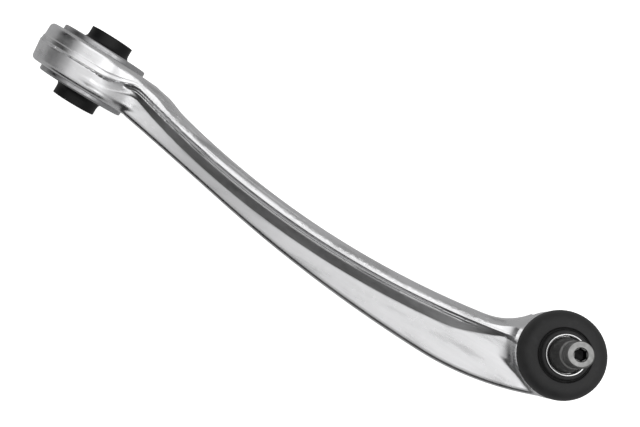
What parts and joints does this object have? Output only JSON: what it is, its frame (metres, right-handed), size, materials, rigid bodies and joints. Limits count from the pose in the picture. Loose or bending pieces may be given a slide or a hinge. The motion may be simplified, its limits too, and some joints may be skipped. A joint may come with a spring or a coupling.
{
  "type": "suspension guide link",
  "caption": "Curved forged aluminium suspension link with a flanged rubber bush at one end and a booted ball joint with a threaded taper stud at the other.",
  "frame": {"origin": "centre of the bush's bolt bore", "axes": "+Y along the bush bolt, +X towards the ball joint, +Z the side the ball stud stands out of"},
  "size_m": [0.375, 0.0646, 0.0918],
  "materials": {
    "forged_aluminium": "blasted and tumbled forging, satin",
    "sleeve_steel": "turned, zinc plated",
    "outer_sleeve_steel": "pressed, dull phosphated",
    "cage_steel": "pressed, bonding primer",
    "channel_nylon": "glass-filled nylon",
    "bush_rubber": "moulded natural rubber, matt",
    "race_acetal": "moulded acetal",
    "seal_rubber": "nitrile",
    "cover_steel": "pressed, zinc plated",
    "wire_steel": "oiled spring wire",
    "boot_rubber": "moulded chloroprene, satin",
    "bright_ring_steel": "bright stainless pressing",
    "stud_steel": "machined and thread rolled, light coating"
  },
  "bodies": {
    "bush_core": {"bush_inner_sleeve": "sleeve_steel"},
    "arm": {"arm_body": "forged_aluminium", "bush_outer_sleeve": "outer_sleeve_steel", "bush_window_cage": "cage_steel", "bush_channel_shell_front": "channel_nylon", "bush_channel_shell_rear": "channel_nylon", "bush_stop_blocks": "channel_nylon", "bush_rubber_spring": "bush_rubber", "ball_race": "race_acetal", "race_preload_ring": "seal_rubber", "housing_cover": "cover_steel", "cover_seal_ring": "seal_rubber", "boot_lower_ring": "wire_steel"},
    "boot": {"dust_boot": "boot_rubber"},
    "boot_collar": {"boot_upper_ring": "wire_steel", "boot_collar_ring": "bright_ring_steel"},
    "stud": {"ball_stud": "stud_steel"}
  },
  "joints": [
    {"name": "bush_torsion", "type": "hinge", "parent": "bush_core", "child": "arm", "pos_m": [0, 0, 0], "axis": [0, 1, 0], "range_deg": [-20, 20], "stiffness_Nm_per_rad": 90, "springref_deg": -0.86},
    {"name": "ball_tilt_x", "type": "hinge", "parent": "arm", "child": "boot", "pos_m": [0.315, 0, 0], "axis": [1, 0, 0], "range_deg": [-14, 14], "deforming": ["dust_boot"]},
    {"name": "ball_tilt_y", "type": "hinge", "parent": "boot", "child": "boot_collar", "pos_m": [0.315, 0, 0], "axis": [0, 0.9903, -0.1392], "range_deg": [-14, 14], "deforming": ["dust_boot"]},
    {"name": "stud_spin", "type": "hinge", "parent": "boot_collar", "child": "stud", "pos_m": [0.315, 0, 0], "axis": [0, 0.1392, 0.9903], "continuous": true}
  ]
}
